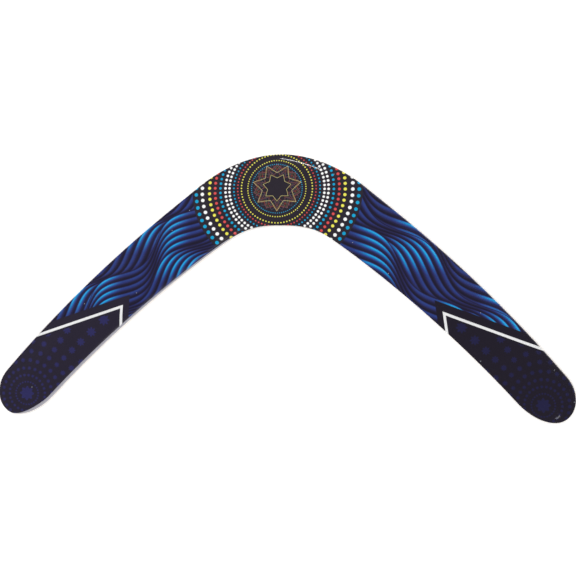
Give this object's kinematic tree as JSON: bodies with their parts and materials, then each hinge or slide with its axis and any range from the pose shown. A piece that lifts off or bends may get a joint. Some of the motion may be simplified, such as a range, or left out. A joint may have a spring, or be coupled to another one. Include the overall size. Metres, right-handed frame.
{
  "type": "boomerang",
  "caption": "Right-handed returning boomerang of birch plywood, flat below with an airfoil top, printed with blue waves and dot rings under a clear gloss coat.",
  "frame": {"origin": "middle of the bounding box in plan, on the plane of the flat underside", "axes": "+X from the left arm's tip towards the right arm's tip, +Y towards the elbow, +Z out of the printed airfoil face"},
  "size_m": [0.401, 0.1818, 0.0054],
  "materials": {
    "birch_along": "sanded and sealed, grain from tip to tip",
    "birch_across": "sanded and sealed end grain at the edges",
    "phenolic_glue": "dark resin film",
    "base_paint": "satin pale grey-white paint",
    "printed_film": "printed in navy, blue and coloured dots",
    "clear_gloss": "clear high gloss"
  },
  "bodies": {
    "root": {"veneer_01": "birch_along", "glue_film_01": "phenolic_glue", "veneer_02": "birch_across", "glue_film_02": "phenolic_glue", "veneer_03": "birch_along", "glue_film_03": "phenolic_glue", "veneer_04": "birch_across", "glue_film_04": "phenolic_glue", "veneer_05": "birch_along", "glue_film_05": "phenolic_glue", "veneer_06": "birch_along", "glue_film_06": "phenolic_glue", "veneer_07": "birch_across", "glue_film_07": "phenolic_glue", "veneer_08": "birch_along", "glue_film_08": "phenolic_glue", "veneer_09": "birch_across", "glue_film_09": "phenolic_glue", "veneer_10": "birch_along", "base_coat": "base_paint", "printed_film": "printed_film", "gloss_coat": "clear_gloss"}
  },
  "joints": []
}
